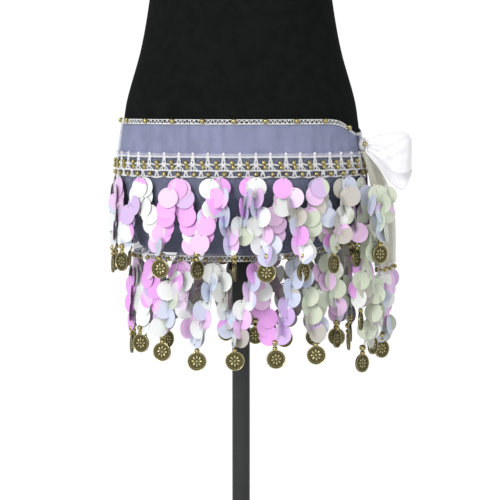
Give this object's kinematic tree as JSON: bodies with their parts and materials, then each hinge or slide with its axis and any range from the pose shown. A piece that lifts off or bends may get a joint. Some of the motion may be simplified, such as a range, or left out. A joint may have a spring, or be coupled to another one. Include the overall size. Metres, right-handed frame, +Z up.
{
  "type": "belly dance hip scarf on a limbless dress form",
  "caption": "Sheer white hip scarf with a beaded crochet band and tiers of paillettes and coins, tied on a limbless black dress form.",
  "frame": {"origin": "centre of the stand's flat underside, on the floor", "axes": "+Z up along the pole; -Y is the form's front; +X is the form's left hip, where the scarf is knotted"},
  "size_m": [0.3752, 0.34, 1.6493],
  "materials": {
    "form_black": "matte black stretch jersey",
    "stand_black": "satin black powder coat",
    "white_chiffon": "sheer white chiffon",
    "white_crochet": "matte white crochet yarn with small gold beads",
    "pearl_sequin": "iridescent pearl paillettes",
    "antique_gold": "antique gold beads and pressed coins"
  },
  "bodies": {
    "root": {"stand_base": "stand_black", "stand_pole": "stand_black", "form_socket": "stand_black", "form_torso": "form_black", "neck_cap": "stand_black", "chiffon_panel": "white_chiffon", "upper_band": "white_chiffon", "top_edging": "white_crochet", "lattice_front": "white_crochet", "lattice_back": "white_crochet", "tier_one_fringe_front": "pearl_sequin", "tier_one_fringe_back": "pearl_sequin", "tier_two_fringe_front": "pearl_sequin", "tier_two_fringe_back": "pearl_sequin", "knot": "white_chiffon", "bow_loop": "white_chiffon", "tail_panel": "white_chiffon", "tail_front_fringe": "pearl_sequin", "tail_hem_fringe": "pearl_sequin"}
  },
  "joints": []
}
